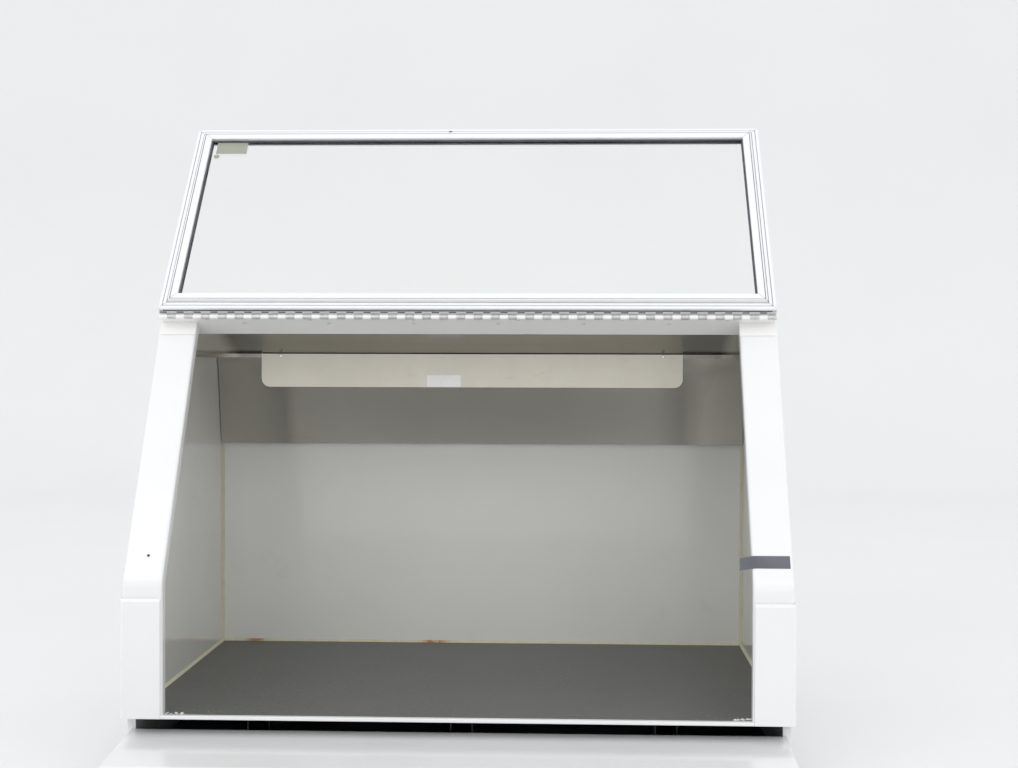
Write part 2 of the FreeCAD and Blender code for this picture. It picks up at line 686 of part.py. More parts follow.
def make_feet():
    """Rubber feet under the pan's corners and under the apron."""
    feet = []
    for x in (-FOOT_X, FOOT_X):
        for setback in FOOT_SETBACKS:
            foot = cylinder(FOOT_RADIUS, V(x, place_y(setback), 0), Z_AXIS, FOOT_HEIGHT)
            feet.append(foot.makeChamfer(1.5, [edge for edge in foot.Edges if edge.BoundBox.ZMax < 0.01]))
    return group(feet)


def bead(start, direction, length, corner_x, corner_y):
    """A triangular run of sealant with its back in a corner."""
    outline = Part.makePolygon([start, start + corner_x, start + corner_y, start])
    return Part.Face(outline).extrude(direction * length)


def make_sealant():
    """Sealant along the edges of the slab and up the back corners."""
    size = SEALANT_SIZE
    half = WALL_INNER
    front = place_y(SEALANT_START)
    back = place_y(CHAMBER_DEPTH)
    floor = SILL_HEIGHT
    side_length = back - front - size - 0.5
    ceiling = place_z(BAFFLE_BOTTOM[1] - 6)
    runs = []
    for side in (-1, 1):
        runs.append(bead(V(side * half, front, floor), Y_AXIS, side_length,
                         V(-side * size, 0, 0), V(0, 0, size)))
        runs.append(bead(V(side * half, back, floor), Z_AXIS, ceiling - floor,
                         V(-side * size, 0, 0), V(0, -size, 0)))
    runs.append(bead(V(-half + size + 0.3, back, floor), X_AXIS, 2 * (half - size - 0.3),
                     V(0, -size, 0), V(0, 0, size)))
    return group(runs)


# Exhaust collar, switch and cord gland

def make_collar():
    """The round spigot for the exhaust duct, its flange on the rear panel, and its narrower throat."""
    start = place_y(CHAMBER_DEPTH)
    z = place_z(COLLAR_RISE)
    throat = cylinder(COLLAR_THROAT, V(0, start, z), Y_AXIS, REAR_Y - start)
    spigot = cylinder(COLLAR_RADIUS, V(0, REAR_Y, z), Y_AXIS, COLLAR_REACH)
    flange = cylinder(COLLAR_RADIUS + COLLAR_FLANGE, V(0, REAR_Y - SHEET, z), Y_AXIS, SHEET)
    bore = cylinder(COLLAR_BORE, V(0, start - 5, z), Y_AXIS, OVERALL_DEPTH)
    return joined([throat, spigot, flange]).cut(bore)


def make_collar_screws():
    """Six screws round the collar's flange."""
    z = place_z(COLLAR_RISE)
    places = [(COLLAR_SCREW_CIRCLE * math.cos(math.radians(angle)),
               COLLAR_SCREW_CIRCLE * math.sin(math.radians(angle))) for angle in range(30, 390, 60)]
    return group([screw(V(x, REAR_Y, z + shift), Y_AXIS, 4.0, 2.2, 2.0, 6.0) for x, shift in places])


def upright_block(half_size, x0, x1):
    """A block round the lamp switch's centre, from its half width along Y and half height."""
    y, z = place_y(SWITCH_SETBACK), place_z(SWITCH_RISE)
    half_width, half_height = half_size
    return box(x0, x1, y - half_width, y + half_width, z - half_height, z + half_height)


def make_switch_frame():
    """The lamp switch's frame, snapped into the right-hand side panel."""
    y, z = place_y(SWITCH_SETBACK), place_z(SWITCH_RISE)
    flange = upright_block(SWITCH_FLANGE, POST_OUTER, POST_OUTER + SWITCH_FLANGE_THICKNESS)
    body = upright_block(SWITCH_BODY, POST_OUTER - SWITCH_DEPTH, POST_OUTER)
    window = upright_block(SWITCH_WINDOW, ROCKER_PIVOT_X - SWITCH_WINDOW_DEPTH, POST_OUTER + SWITCH_DEPTH)
    pin_hole = cylinder(ROCKER_PIN_RADIUS + PIN_CLEARANCE, V(ROCKER_PIVOT_X, y - ROCKER_PIN_HALF - 0.2, z),
                        Y_AXIS, 2 * ROCKER_PIN_HALF + 0.4)
    return joined([flange, body]).cut(window).cut(pin_hole)


def make_rocker():
    """The rocker: its two faces meet in a shallow valley, and the upper one is pressed in at rest."""
    y, z = place_y(SWITCH_SETBACK), place_z(SWITCH_RISE)
    half_width, half_length = ROCKER_HALF
    valley = ROCKER_VALLEY
    crest = valley + half_length * math.tan(math.radians(ROCKER_SWING / 2))
    outline = [(-3.0, -6.0), (-1.0, -9.0), (crest, -half_length), (valley, 0), (crest, half_length),
               (-1.0, 9.0), (-3.0, 6.0)]
    wire = Part.makePolygon([V(ROCKER_PIVOT_X + out, y - half_width, z + up)
                             for out, up in outline + outline[:1]])
    paddle = Part.Face(wire).extrude(V(0, 2 * half_width, 0))
    pins = cylinder(ROCKER_PIN_RADIUS, V(ROCKER_PIVOT_X, y - ROCKER_PIN_HALF, z), Y_AXIS, 2 * ROCKER_PIN_HALF)
    rocker = joined([paddle, pins])
    rocker.rotate(V(ROCKER_PIVOT_X, y, z), Y_AXIS, -ROCKER_SWING / 2)
    return rocker


def make_gland():
    """A flanged bush where the lamp's supply lead enters the rear panel."""
    start = V(GLAND_X, REAR_Y, GLAND_Z)
    body = cylinder(GLAND_HOLE - 0.1, start, -Y_AXIS, GLAND_LENGTH)
    rim = cylinder(GLAND_RIM, start, -Y_AXIS, SHEET)
    nut = cylinder(GLAND_RIM, start - Y_AXIS * (2 * SHEET + 0.2), -Y_AXIS, GLAND_NUT)
    bore = cylinder(GLAND_BORE, start + Y_AXIS, -Y_AXIS, 2 * GLAND_LENGTH)
    return joined([body, rim, nut]).cut(bore)


def make_panel_screws():
    """Screws that hold the rear panel to the side walls and the base rails."""
    screws = []
    for side in (-1, 1):
        for rise in (-40.0, 90.0, 270.0, 450.0):
            place = V(side * (POST_OUTER - 8), REAR_Y - SHEET, place_z(rise))
            screws.append(screw(place, Y_AXIS, 3.2, SHEET, 1.6, 9.0))
    return group(screws)


def make_apron_screws():
    """Screws that hold the apron's end plates."""
    screws = []
    for side in (-1, 1):
        for setback in (-100.0, 0.0):
            place = V(side * APRON_HALF, place_y(setback), place_z(-55))
            screws.append(screw(place, X_AXIS * side, 3.5, 1.6, 1.6, 5.0))
    return group(screws)


# Sash, drawn flat with the pin on its origin: Y runs up the sash and Z out of its front face

def open_sash(shape):
    """Put a part of the sash, drawn flat, where it stands when open."""
    moved = shape.copy()
    moved.rotate(ORIGIN, X_AXIS, 90 - math.degrees(SASH_OPEN_LEAN))
    moved.translate(V(0, PIN_Y, PIN_Z))
    return moved


def flat_ring(inset_outer, inset_inner, z0, z1):
    """A rectangular ring measured inwards from the sash's outer edge."""
    outer = box(-HALF + inset_outer, HALF - inset_outer, SASH_START + inset_outer,
                SASH_START + SASH_LENGTH - inset_outer, z0, z1)
    inner = box(-HALF + inset_inner, HALF - inset_inner, SASH_START + inset_inner,
                SASH_START + SASH_LENGTH - inset_inner, z0 - 1, z1 + 1)
    return outer.cut(inner)


def rail_profile(has_edge_groove):
    """(inset, thickness) outline of the frame's extrusion: a stepped face and a pocket for the pane."""
    low, high = EDGE_GROOVE
    step = SASH_EDGE_THICKNESS
    lip = SASH_LIP_THICKNESS
    outline = [(0, 0), (RAIL_WIDTH, 0), (RAIL_WIDTH, RAIL_WALL), (POCKET_START, RAIL_WALL),
               (POCKET_START, POCKET_TOP), (RAIL_WIDTH, POCKET_TOP), (RAIL_WIDTH, lip - 0.8),
               (RAIL_WIDTH - 0.8, lip), (RAIL_STEP + 4.6, lip), (RAIL_STEP + 4.2, lip - 0.7),
               (RAIL_STEP + 3.2, lip - 0.7), (RAIL_STEP + 2.8, lip), (RAIL_STEP + RAIL_RISER, lip),
               (RAIL_STEP, step), (6.2, step), (5.8, step - 0.6), (5.0, step - 0.6), (4.6, step),
               (1.2, step), (0, step - 1.2)]
    if has_edge_groove:
        outline += [(0, high), (EDGE_GROOVE_DEPTH, high), (EDGE_GROOVE_DEPTH, low), (0, low)]
    return outline


def mitred_rail(length, has_edge_groove):
    """A rail along X whose outer edge lies on Y = 0, mitred at both ends."""
    outline = rail_profile(has_edge_groove)
    wire = Part.makePolygon([V(-length / 2, inset, height) for inset, height in outline + outline[:1]])
    rail = Part.Face(wire).extrude(V(length, 0, 0))
    half = length / 2 - MITRE_GAP
    deep = RAIL_WIDTH + 1
    mitre = Part.makePolygon([V(-half, 0, -1), V(half, 0, -1), V(half - deep, deep, -1),
                              V(-half + deep, deep, -1), V(-half, 0, -1)])
    return rail.common(Part.Face(mitre).extrude(V(0, 0, SASH_LIP_THICKNESS + 2)))


def make_sash_rails():
    """The four rails of the sash frame, by name."""
    middle = SASH_START + SASH_LENGTH / 2
    hinge_rail = mitred_rail(HEADER_WIDTH, True)
    hinge_rail.translate(V(0, SASH_START, 0))
    free_rail = mitred_rail(HEADER_WIDTH, False)
    free_rail.rotate(ORIGIN, Z_AXIS, 180)
    free_rail.translate(V(0, SASH_START + SASH_LENGTH, 0))
    left_stile = mitred_rail(SASH_LENGTH, False)
    left_stile.rotate(ORIGIN, Z_AXIS, -90)
    left_stile.translate(V(-HALF, middle, 0))
    right_stile = mitred_rail(SASH_LENGTH, False)
    right_stile.rotate(ORIGIN, Z_AXIS, 90)
    right_stile.translate(V(HALF, middle, 0))
    return {"sash_hinge_rail": hinge_rail, "sash_free_rail": free_rail,
            "sash_left_stile": left_stile, "sash_right_stile": right_stile}


def make_glass():
    return box(-HALF + GLASS_START, HALF - GLASS_START, SASH_START + GLASS_START,
               SASH_START + SASH_LENGTH - GLASS_START, GLASS_BACK, GLASS_FRONT)


def make_glazing_gasket():
    """The channel of rubber round the pane, held in the frame's pocket."""
    lip = RAIL_WIDTH + GASKET_LIP
    back = flat_ring(POCKET_START, lip, RAIL_WALL, GLASS_BACK)
    rim = flat_ring(POCKET_START, GLASS_START, GLASS_BACK, GLASS_FRONT)
    front = flat_ring(POCKET_START, lip, GLASS_FRONT, POCKET_TOP)
    return joined([back, rim, front])


def make_edge_seal():
    """The black strip in the groove of the hinge edge."""
    low, high = EDGE_GROOVE
    return box(-HALF + 6, HALF - 6, SASH_START + 0.5, SASH_START + EDGE_GROOVE_DEPTH, low, high)


def make_corner_screws():
    """Screws through the back of the frame's mitred corners."""
    screws = []
    for x in (-HALF + 8, HALF - 8):
        for along in (SASH_START + 22, SASH_START + SASH_LENGTH - 8):
            screws.append(screw(V(x, along, 0), -Z_AXIS, 2.6, 1.0, 1.4, 8.0))
    return group(screws)


def make_sash_leaf():
    """The leaf on the back of the hinge rail."""
    back = -LEAF_THICKNESS
    plate = [(LEAF_START, back), (SASH_LEAF_WIDTH, back), (SASH_LEAF_WIDTH, 0), (LEAF_START, 0)]
    web = [(0, back), (LEAF_START, back), (LEAF_START, 0), (0, 0)]
    return make_leaf(1, plate, web, (0, 0))


def make_sash_leaf_screws():
    places = evenly(HINGE_SCREW_COUNT, HINGE_SCREW_PITCH)
    return group([screw(V(x, HINGE_SCREW_LINE, -LEAF_THICKNESS), -Z_AXIS, *HINGE_SCREW_HEAD,
                        SLOPE_SHANK_RADIUS, SASH_SCREW_SHANK) for x in places])


def make_sash_screw():
    """One dark screw in the free rail's outer band."""
    return screw(V(-41.0, SASH_START + SASH_LENGTH - 7.5, SASH_EDGE_THICKNESS), Z_AXIS, 2.3, 1.0, 1.2, 6.0)


def make_sash_label():
    """A blank rectangular label and a small round seal below it on the pane."""
    top = SASH_START + SASH_LENGTH - RAIL_WIDTH - GASKET_LIP - 0.5
    plate = box(*SASH_LABEL_SPAN, top - SASH_LABEL_HEIGHT, top, GLASS_FRONT, GLASS_FRONT + FILM)
    oval = cylinder(SEAL_RADIUS, V(SEAL_X, top - SEAL_DROP, GLASS_FRONT), Z_AXIS, FILM)
    return group([plate, oval])


# Rests, tape and label

def make_rest_bracket():
    """Right-hand bracket on the header that the open sash leans on."""
    x0, x1 = HALF - 22, HALF - 5
    foot_z = place_z(ROOF_RISE) + PLATE + 0.1
    tilt = sash_point(REST_REACH, REST_LINE)
    base = sash_point(0, REST_LINE)
    lean = turned_direction(base, tilt)
    reach = (foot_z - base[1]) / lean[1]
    corner = (base[0] + lean[0] * reach, foot_z)
    outer = [(corner[0] + REST_FOOT, foot_z), corner, tilt]
    return sheet_x(outer, -PLATE, x0, x1, bend=0.8)


def make_rest_pad():
    """Right-hand rubber pad between the bracket and the open sash."""
    x0, x1 = HALF - 20, HALF - 7
    low, high = REST_REACH - 26, REST_REACH - 4
    back, front = REST_LINE + 0.02, -REST_GAP
    return prism_x([sash_point(low, back), sash_point(high, back), sash_point(high, front),
                    sash_point(low, front)], x0, x1)


def make_rest_screws():
    y = sash_point(0, REST_LINE)[0] + REST_FOOT
    z = place_z(ROOF_RISE) + PLATE + 0.1 + PLATE
    return group([screw(V(side * (HALF - 13.5), y, z), Z_AXIS, 3.5, 1.8, 1.8, 6.0) for side in (-1, 1)])


def make_marker_tape():
    """A strip of dark tape across the right post, with a free end bent into the opening."""
    low, high = TAPE_SPAN
    back = POST_LINE
    front = back - TAPE_THICKNESS
    start, end = POST_INNER + TAPE_MARGIN, POST_OUTER - 2 * TAPE_MARGIN
    face = prism_x([slope_point(low, front), slope_point(high, front), slope_point(high, back),
                    slope_point(low, back)], start, end)
    y0, z0 = slope_point(low, front)
    y1, z1 = slope_point(high, front)
    flap_x = start - TAPE_FLAP
    wire = Part.makePolygon([V(start, y0, z0), V(start, y1, z1), V(flap_x, y1 + TAPE_CURL, z1 - TAPE_DROOP),
                             V(flap_x, y0 + TAPE_CURL, z0 - TAPE_DROOP), V(start, y0, z0)])
    flap = Part.Face(wire).extrude(slope_vector(0, TAPE_THICKNESS))
    return joined([face, flap])


def make_post_screw():
    """The dark screw low on the left post."""
    y, z = slope_point(POST_SCREW_ALONG, POST_LINE)
    return screw(V(POST_SCREW_X, y, z), slope_vector(0, -1), *POST_SCREW_HEAD, 1.2, 6.0)


def make_lamp_label():
    face = place_y(SHIELD_SETBACK) - SHEET
    low = place_z(SHIELD_BOTTOM) + 0.5
    return box(*LAMP_LABEL_SPAN, face - FILM, face, low, low + LAMP_LABEL_HEIGHT)


def make_shield_screws():
    """Screws that hold the lamp shield to the soffit's hem."""
    face = place_y(SHIELD_SETBACK) - SHEET
    return group([screw(V(x, face, place_z(CEILING_RISE) - 4), -Y_AXIS, 2.4, 1.1, 1.4, 3.4)
                  for x in evenly(2, SHIELD_WIDTH - 60)])


def build_cabinet():
    header = make_header()
    post = make_post().cut(header)
    sleeve = make_sleeve()
    side = make_side_panel(header).cut(post)
    liner = make_liner(header)
    switch_hole = upright_block(SWITCH_HOLE, WALL_INNER - LINER, POST_OUTER + LINER)
    rail = make_base_rail()
    cap = make_apron_cap()
    bracket = make_rest_bracket()
    pad = make_rest_pad()
    return {
        "base_pan": make_base_pan(),
        "base_feet": make_feet(),
        "base_rails": group([rail, mirrored(rail)]),
        "floor_supports": make_floor_supports(),
        "work_surface": make_work_surface(),
        "sill_rail": make_sill_rail(),
        "sealant": make_sealant(),
        "apron": make_apron(),
        "apron_end_caps": group([cap, mirrored(cap)]),
        "apron_screws": make_apron_screws(),
        "post_left": mirrored(post),
        "post_right": post,
        "sleeve_left": mirrored(sleeve),
        "sleeve_right": sleeve,
        "side_panel_left": mirrored(side),
        "side_panel_right": side.cut(switch_hole),
        "liner_left": mirrored(liner),
        "liner_right": liner.cut(switch_hole),
        "back_liner": make_back_liner(),
        "rear_panel": make_rear_panel(),
        "rear_panel_screws": make_panel_screws(),
        "roof_panel": make_roof(),
        "header": header,
        "header_rivets": make_slope_screws([x + RIVET_SHIFT for x in evenly(RIVET_COUNT, RIVET_PITCH)],
                                           FLANGE_LINE, RIVET_LINE, *RIVET_HEAD, RIVET_SHANK),
        "hinge_fixed_leaf": make_fixed_leaf(),
        "hinge_fixed_screws": make_slope_screws(evenly(HINGE_SCREW_COUNT, HINGE_SCREW_PITCH),
                                                FLANGE_LINE + LEAF_THICKNESS, HINGE_SCREW_LINE,
                                                *HINGE_SCREW_HEAD, FIXED_SCREW_SHANK),
        "hinge_pin": make_hinge_pin(),
        "soffit_panel": make_soffit(),
        "ceiling_panel": make_ceiling(),
        "upper_baffle": make_baffle(),
        "baffle_brackets": make_baffle_brackets(),
        "lamp_shield": make_lamp_shield(),
        "lamp_shield_screws": make_shield_screws(),
        "lamp_label": make_lamp_label(),
        "lamp_tube": make_lamp_tube(),
        "lamp_sockets": make_lamp_sockets(),
        "lamp_reflector": make_lamp_reflector(),
        "lamp_ballast": make_ballast(),
        "exhaust_collar": make_collar(),
        "collar_screws": make_collar_screws(),
        "sash_rest_brackets": group([bracket, mirrored(bracket)]),
        "sash_rest_pads": group([pad, mirrored(pad)]),
        "sash_rest_screws": make_rest_screws(),
        "marker_tape": make_marker_tape(),
        "post_screw": make_post_screw(),
        "light_switch_frame": make_switch_frame(),
        "light_switch_rocker": make_rocker(),
        "cord_gland": make_gland(),
    }


def build_sash():
    parts = make_sash_rails()
    parts["sash_glass"] = make_glass()
    parts["glazing_gasket"] = make_glazing_gasket()
    parts["sash_edge_seal"] = make_edge_seal()
    parts["sash_corner_screws"] = make_corner_screws()
    parts["hinge_sash_leaf"] = make_sash_leaf()
    parts["hinge_sash_screws"] = make_sash_leaf_screws()
    parts["sash_screw"] = make_sash_screw()
    parts["sash_label"] = make_sash_label()
    return {name: open_sash(shape) for name, shape in parts.items()}


def main():
    os.makedirs("parts", exist_ok=True)
    nodes = build_cabinet()
    nodes.update(build_sash())
    for name, shape in nodes.items():
        if not shape.isValid() or not shape.Solids:
            print("check", name, shape.isValid(), len(shape.Solids))
        shape.exportStep(os.path.join("parts", name + ".step"))
    bounds = Part.makeCompound(list(nodes.values())).BoundBox
    print(len(nodes), "nodes, x", round(bounds.XMin, 2), round(bounds.XMax, 2), "y", round(bounds.YMin, 2),
          round(bounds.YMax, 2), "z", round(bounds.ZMin, 2), round(bounds.ZMax, 2))


main()
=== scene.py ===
import json
import math
import random

import bmesh
import bpy
from mathutils import Matrix, Vector


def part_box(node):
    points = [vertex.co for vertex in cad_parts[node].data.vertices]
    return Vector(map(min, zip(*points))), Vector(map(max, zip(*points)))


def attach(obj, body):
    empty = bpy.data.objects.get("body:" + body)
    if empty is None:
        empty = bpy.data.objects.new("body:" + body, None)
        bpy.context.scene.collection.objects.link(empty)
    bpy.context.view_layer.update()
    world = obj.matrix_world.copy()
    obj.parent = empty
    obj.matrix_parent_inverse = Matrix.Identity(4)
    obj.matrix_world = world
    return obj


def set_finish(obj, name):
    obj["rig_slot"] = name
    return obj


# The looks of a bench-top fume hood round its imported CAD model. Metres, in the CAD's own frame:
# X to the right seen from the front, Y to the back, Z up, with the bench at Z = 0.

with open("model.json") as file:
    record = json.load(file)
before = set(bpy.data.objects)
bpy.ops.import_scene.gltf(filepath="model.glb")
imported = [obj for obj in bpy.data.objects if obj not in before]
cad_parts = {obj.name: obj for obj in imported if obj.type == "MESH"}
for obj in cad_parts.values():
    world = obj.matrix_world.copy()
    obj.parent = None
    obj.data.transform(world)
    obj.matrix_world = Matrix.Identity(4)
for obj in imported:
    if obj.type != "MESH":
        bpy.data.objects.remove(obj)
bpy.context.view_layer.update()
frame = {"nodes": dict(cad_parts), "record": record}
random.seed(851)

MILLIMETRE = 0.001

# Camera, as placed in front of the hood
CAMERA_PLACE = (0.1583, -2.3885, 0.5657)
CAMERA_YAW = 0.0406
CAMERA_PITCH = -0.0181
CAMERA_ROLL = -0.0027
CAMERA_LENS = 56.6
CAMERA_SENSOR = 36.0
CAMERA_SHIFT_Y = 0.003

# Painted reflections in the brushed sheets: soft vertical light and dark bands in the tone, as X in metres
# and a factor on the tone
BAFFLE_PAINTED_REFLECTIONS = [(-0.442, 1.12), (-0.37, 0.95), (-0.325, 0.78), (-0.305, 1.10), (-0.12, 0.96), (0.14, 0.94),
                (0.30, 1.05), (0.345, 0.86), (0.385, 1.35), (0.442, 1.25)]
SOFFIT_PAINTED_REFLECTIONS = [(-0.443, 1.45), (-0.375, 1.30), (-0.350, 0.45), (-0.325, 0.50), (-0.295, 0.62), (0.300, 0.66),
                (0.335, 0.45), (0.385, 0.42), (0.402, 1.15), (0.443, 1.05)]
REFLECTION_BAND_SWAY = 0.012
BRUSHED_ANISOTROPY = 0.6
RUST_SPOTS = [(-0.385, 0.030), (-0.080, 0.036)]       # X and half width
RUST_COLOR = (0.52, 0.20, 0.04)
BLACK = (0.0, 0.0, 0.0)

# Studio
FLOOR_COLOR = (0.86, 0.86, 0.86)
WORLD_COLOR = (0.98, 0.99, 1.0)
WORLD_STRENGTH = 1.05
KEY_POWER, FILL_POWER = 11, 8
SWEEP_HALF_WIDTH = 9.0
SWEEP_FRONT = -8.0
SWEEP_BEND_START = 4.2        # the backdrop's floor turns up into its wall from here
SWEEP_RADIUS = 1.6
SWEEP_TOP = 8.0
SWEEP_STEPS = 24
FLOOR_RISE = -0.0005          # just under the feet
CARD_FRONT, CARD_REAR = -2.0, -0.50
CARD_HALF_WIDTH = 1.1
CARD_RISE = 0.001
CARD_GREYS = [(0.0, 0.34), (0.10, 0.22), (0.24, 0.17), (0.27, 0.28), (0.55, 0.26), (0.72, 0.33),
              (0.90, 0.46)]           # place across the card, from 0 to 1, and brightness
LIGHT_SIZE = (2.4, 1.6)
LIGHT_TARGET = (0, 0, 0.4)
KEY_PLACE, FILL_PLACE = (-1.6, -2.6, 2.6), (1.9, -2.8, 2.2)

# Sash, as it stands open at rest: its pin, its lean and its frame's section, in millimetres
PIN_Y, PIN_Z = -62.5, 625.2
SASH_LEAN = math.radians(41)
SASH_HALF = 450.0
SASH_START = 4.6              # hinge edge of the frame from the pin
SASH_LENGTH = 392.0
# The frame's front as (inset from its outer edge, height above its back)
FRAME_FACE = [(1.2, 14.0), (4.6, 14.0), (5.0, 13.4), (5.8, 13.4), (6.2, 14.0), (11.6, 14.0),
              (13.0, 18.5), (14.4, 18.5), (14.8, 17.8), (15.8, 17.8), (16.2, 18.5), (25.2, 18.5)]
# Painted shade: dark lines laid in the frame's two grooves and at the foot of its step, each as an inset from
# and to and a height
GROOVE_SHADE_LINES = [(5.05, 5.75, 13.4), (10.7, 11.5, 14.0), (14.85, 15.75, 17.8)]   # inset from, to; height
# How far the painted lines and patches sit off the surfaces they lie on
MARK_LIFT = 0.06
MITRE_HALF_WIDTH = 0.3
KNUCKLE_PAIRS = 36
# Painted shade where the slots between the knuckles show: the dark patches' heights on the frame's hinge
# edge, and their gap at each end
SLOT_HEIGHTS = (3.4, 5.9)     # across the frame's hinge edge, from its back
SLOT_END_GAP = 1.0

# Broken caulk, in millimetres. For each kind: how many to a side, then the ranges of the distance
# inwards and backwards from the corner, of length, width and height, and of the turn in radians.
CAULK_FROM_SLEEVE = 4
CAULK_FROM_FRONT = 3
CAULK_BITS = (9, (0, 24), (0, 7), (3.5, 8.0), (1.5, 3.0), (0.8, 2.4), (-0.9, 0.9))
CAULK_SPECKS = (10, (8, 80), (2, 46), (0.9, 1.8), (0.6, 1.2), (0.3, 0.6), (0, math.tau))


# Node helpers

class Shader:
    """A node material under construction. Textures read the piece's own coordinates."""

    def __init__(self, name):
        self.material = bpy.data.materials.new(name)
        self.material.use_nodes = True
        self.tree = self.material.node_tree
        self.bsdf = self.tree.nodes["Principled BSDF"]
        self.coordinates = self.tree.nodes.new("ShaderNodeTexCoord").outputs["Object"]

    def add(self, kind, inputs=None, **settings):
        """A node with its settings and its inputs, which are values or other nodes' outputs."""
        node = self.tree.nodes.new(kind)
        for key, value in settings.items():
            setattr(node, key, value)
        for key, value in (inputs or {}).items():
            self.put(node.inputs[key], value)
        return node

    def put(self, socket, value):
        if isinstance(value, bpy.types.NodeSocket):
            self.tree.links.new(value, socket)
        else:
            socket.default_value = value

    def set(self, **values):
        """Set the shader's own sockets; an underscore in a name stands for a space."""
        for key, value in values.items():
            self.put(self.bsdf.inputs[key.replace("_", " ")], value)

    def stretched(self, scale):
        """The coordinates scaled along each axis, for grain and streaks."""
        return self.add("ShaderNodeMapping", {"Vector": self.coordinates, "Scale": scale}).outputs["Vector"]

    def noise(self, scale, detail=4.0, roughness=0.55, stretch=(1, 1, 1)):
        inputs = {"Vector": self.stretched(stretch), "Scale": scale, "Detail": detail, "Roughness": roughness}
        return self.add("ShaderNodeTexNoise", inputs).outputs["Fac"]

    def ramp(self, value, stops):
        """Colour stops over a value, each a position and a colour."""
        node = self.add("ShaderNodeValToRGB", {"Fac": value})
        elements = node.color_ramp.elements
        while len(elements) < len(stops):
            elements.new(0.5)
        for element, (position, color) in zip(elements, stops):
            element.position = position
            element.color = (*color[:3], 1.0)
        return node.outputs["Color"]

    def spread(self, value, low, high):
        """A value from 0 to 1 stretched to a range."""
        inputs = {"Value": value, "To Min": low, "To Max": high}
        return self.add("ShaderNodeMapRange", inputs).outputs["Result"]

    def band(self, value, low, high):
        """0 below a range of the value, 1 above it, smooth between."""
        inputs = {"Value": value, "From Min": low, "From Max": high}
        return self.add("ShaderNodeMapRange", inputs, interpolation_type="SMOOTHSTEP").outputs["Result"]

    def math(self, operation, first, second=0.0):
        node = self.add("ShaderNodeMath", operation=operation)
        self.put(node.inputs[0], first)
        self.put(node.inputs[1], second)
        return node.outputs["Value"]

    def axis(self, name):
        return self.add("ShaderNodeSeparateXYZ", {"Vector": self.coordinates}).outputs[name]

    def mix(self, share, first, second):
        """The first colour where the share is 0 and the second where it is 1."""
        node = self.add("ShaderNodeMix", data_type="RGBA")
        for socket, value in ((node.inputs[0], share), (node.inputs[6], first), (node.inputs[7], second)):
            self.put(socket, value)
        return node.outputs[2]

    def bump(self, height, strength, distance):
        inputs = {"Height": height, "Strength": strength, "Distance": distance}
        self.set(Normal=self.add("ShaderNodeBump", inputs).outputs["Normal"])

    def worn_edges(self, low=0.53, high=0.60):
        """1 on convex edges, from the mesh's pointiness."""
        return self.band(self.add("ShaderNodeNewGeometry").outputs["Pointiness"], low, high)

    def brush_around(self):
        """Turn the brushed highlight with a tangent round the Z axis."""
        tangent = self.add("ShaderNodeTangent", direction_type="RADIAL", axis="Z").outputs["Tangent"]
        self.set(Anisotropic=BRUSHED_ANISOTROPY, Tangent=tangent)


def rgba(color):
    return (*color, 1.0)


def tint(color, factor):
    return tuple(min(1.0, channel * factor) for channel in color)


# Materials

def painted_sheet(name, color, roughness=0.22, coat=0.5, dirt=(0.62, 0.58, 0.48), dirt_share=0.10):
    """Sprayed epoxy paint: faint orange peel, cloudy tone, and yellowed grime in patches."""
    shader = Shader(name)
    cloud = shader.noise(3.5, 3.0)
    tone = shader.ramp(cloud, [(0.30, tint(color, 0.965)), (0.70, tint(color, 1.01))])
    patches = shader.band(shader.noise(11.0, 6.0, 0.7), 0.60, 0.80)
    share = shader.math("MULTIPLY", patches, dirt_share)
    shader.set(Base_Color=shader.mix(share, tone, rgba(dirt)))
    shader.set(Roughness=shader.spread(shader.noise(26.0, 4.0), roughness * 0.75, roughness * 1.35))
    shader.set(Coat_Weight=coat, Coat_Roughness=0.06, IOR=1.5)
    shader.bump(shader.noise(420.0, 2.0), 0.05, 0.0006)
    return shader.material


def brushed_steel(name, color, roughness):
    """Sheet steel with fine brushed lines along X, smudges and uneven polish."""
    shader = Shader(name)
    lines = shader.noise(9.0, 5.0, 0.65, (2.0, 260.0, 260.0))
    smudge = shader.noise(4.2, 5.0, 0.6)
    base = shader.ramp(lines, [(0.25, tint(color, 0.86)), (0.75, tint(color, 1.10))])
    stain = shader.ramp(smudge, [(0.30, tint(color, 0.90)), (0.72, color)])
    shader.set(Base_Color=shader.mix(0.45, base, stain), Metallic=1.0)
    polish = shader.spread(smudge, roughness * 0.8, roughness * 1.25)
    shader.set(Roughness=shader.math("ADD", shader.spread(lines, -0.05, 0.05), polish))
    shader.brush_around()
    shader.bump(lines, 0.10, 0.0003)
    return shader.material


def sheet_with_painted_reflections(name, color, roughness, bands):
    """Brushed sheet with painted reflections: its tone varies in soft vertical light and dark bands, each an
    X in metres and a factor.
    """
    shader = Shader(name)
    left, right = bands[0][0], bands[-1][0]
    sway = shader.math("MULTIPLY", shader.noise(3.0, 3.0), REFLECTION_BAND_SWAY)
    across = shader.math("ADD", shader.axis("X"), sway)
    place = shader.add("ShaderNodeMapRange", {"Value": across, "From Min": left, "From Max": right})
    stops = [((x - left) / (right - left), tint(color, factor)) for x, factor in bands]
    # Painted reflections: the banded tone stands in for the light and dark surroundings mirrored in the steel
    tone = shader.ramp(place.outputs["Result"], stops)
    grain = shader.noise(14.0, 6.0, 0.7, (1.5, 420.0, 420.0))
    streak = shader.noise(60.0, 3.0, 0.5, (1.0, 0.03, 0.03))
    shader.set(Base_Color=shader.mix(shader.spread(grain, 0.0, 0.16), tone, rgba(BLACK)), Metallic=1.0)
    shader.set(Roughness=shader.math("ADD", shader.spread(streak, 0.0, 0.02), roughness))
    shader.brush_around()
    shader.bump(grain, 0.05, 0.0002)
    return shader.material


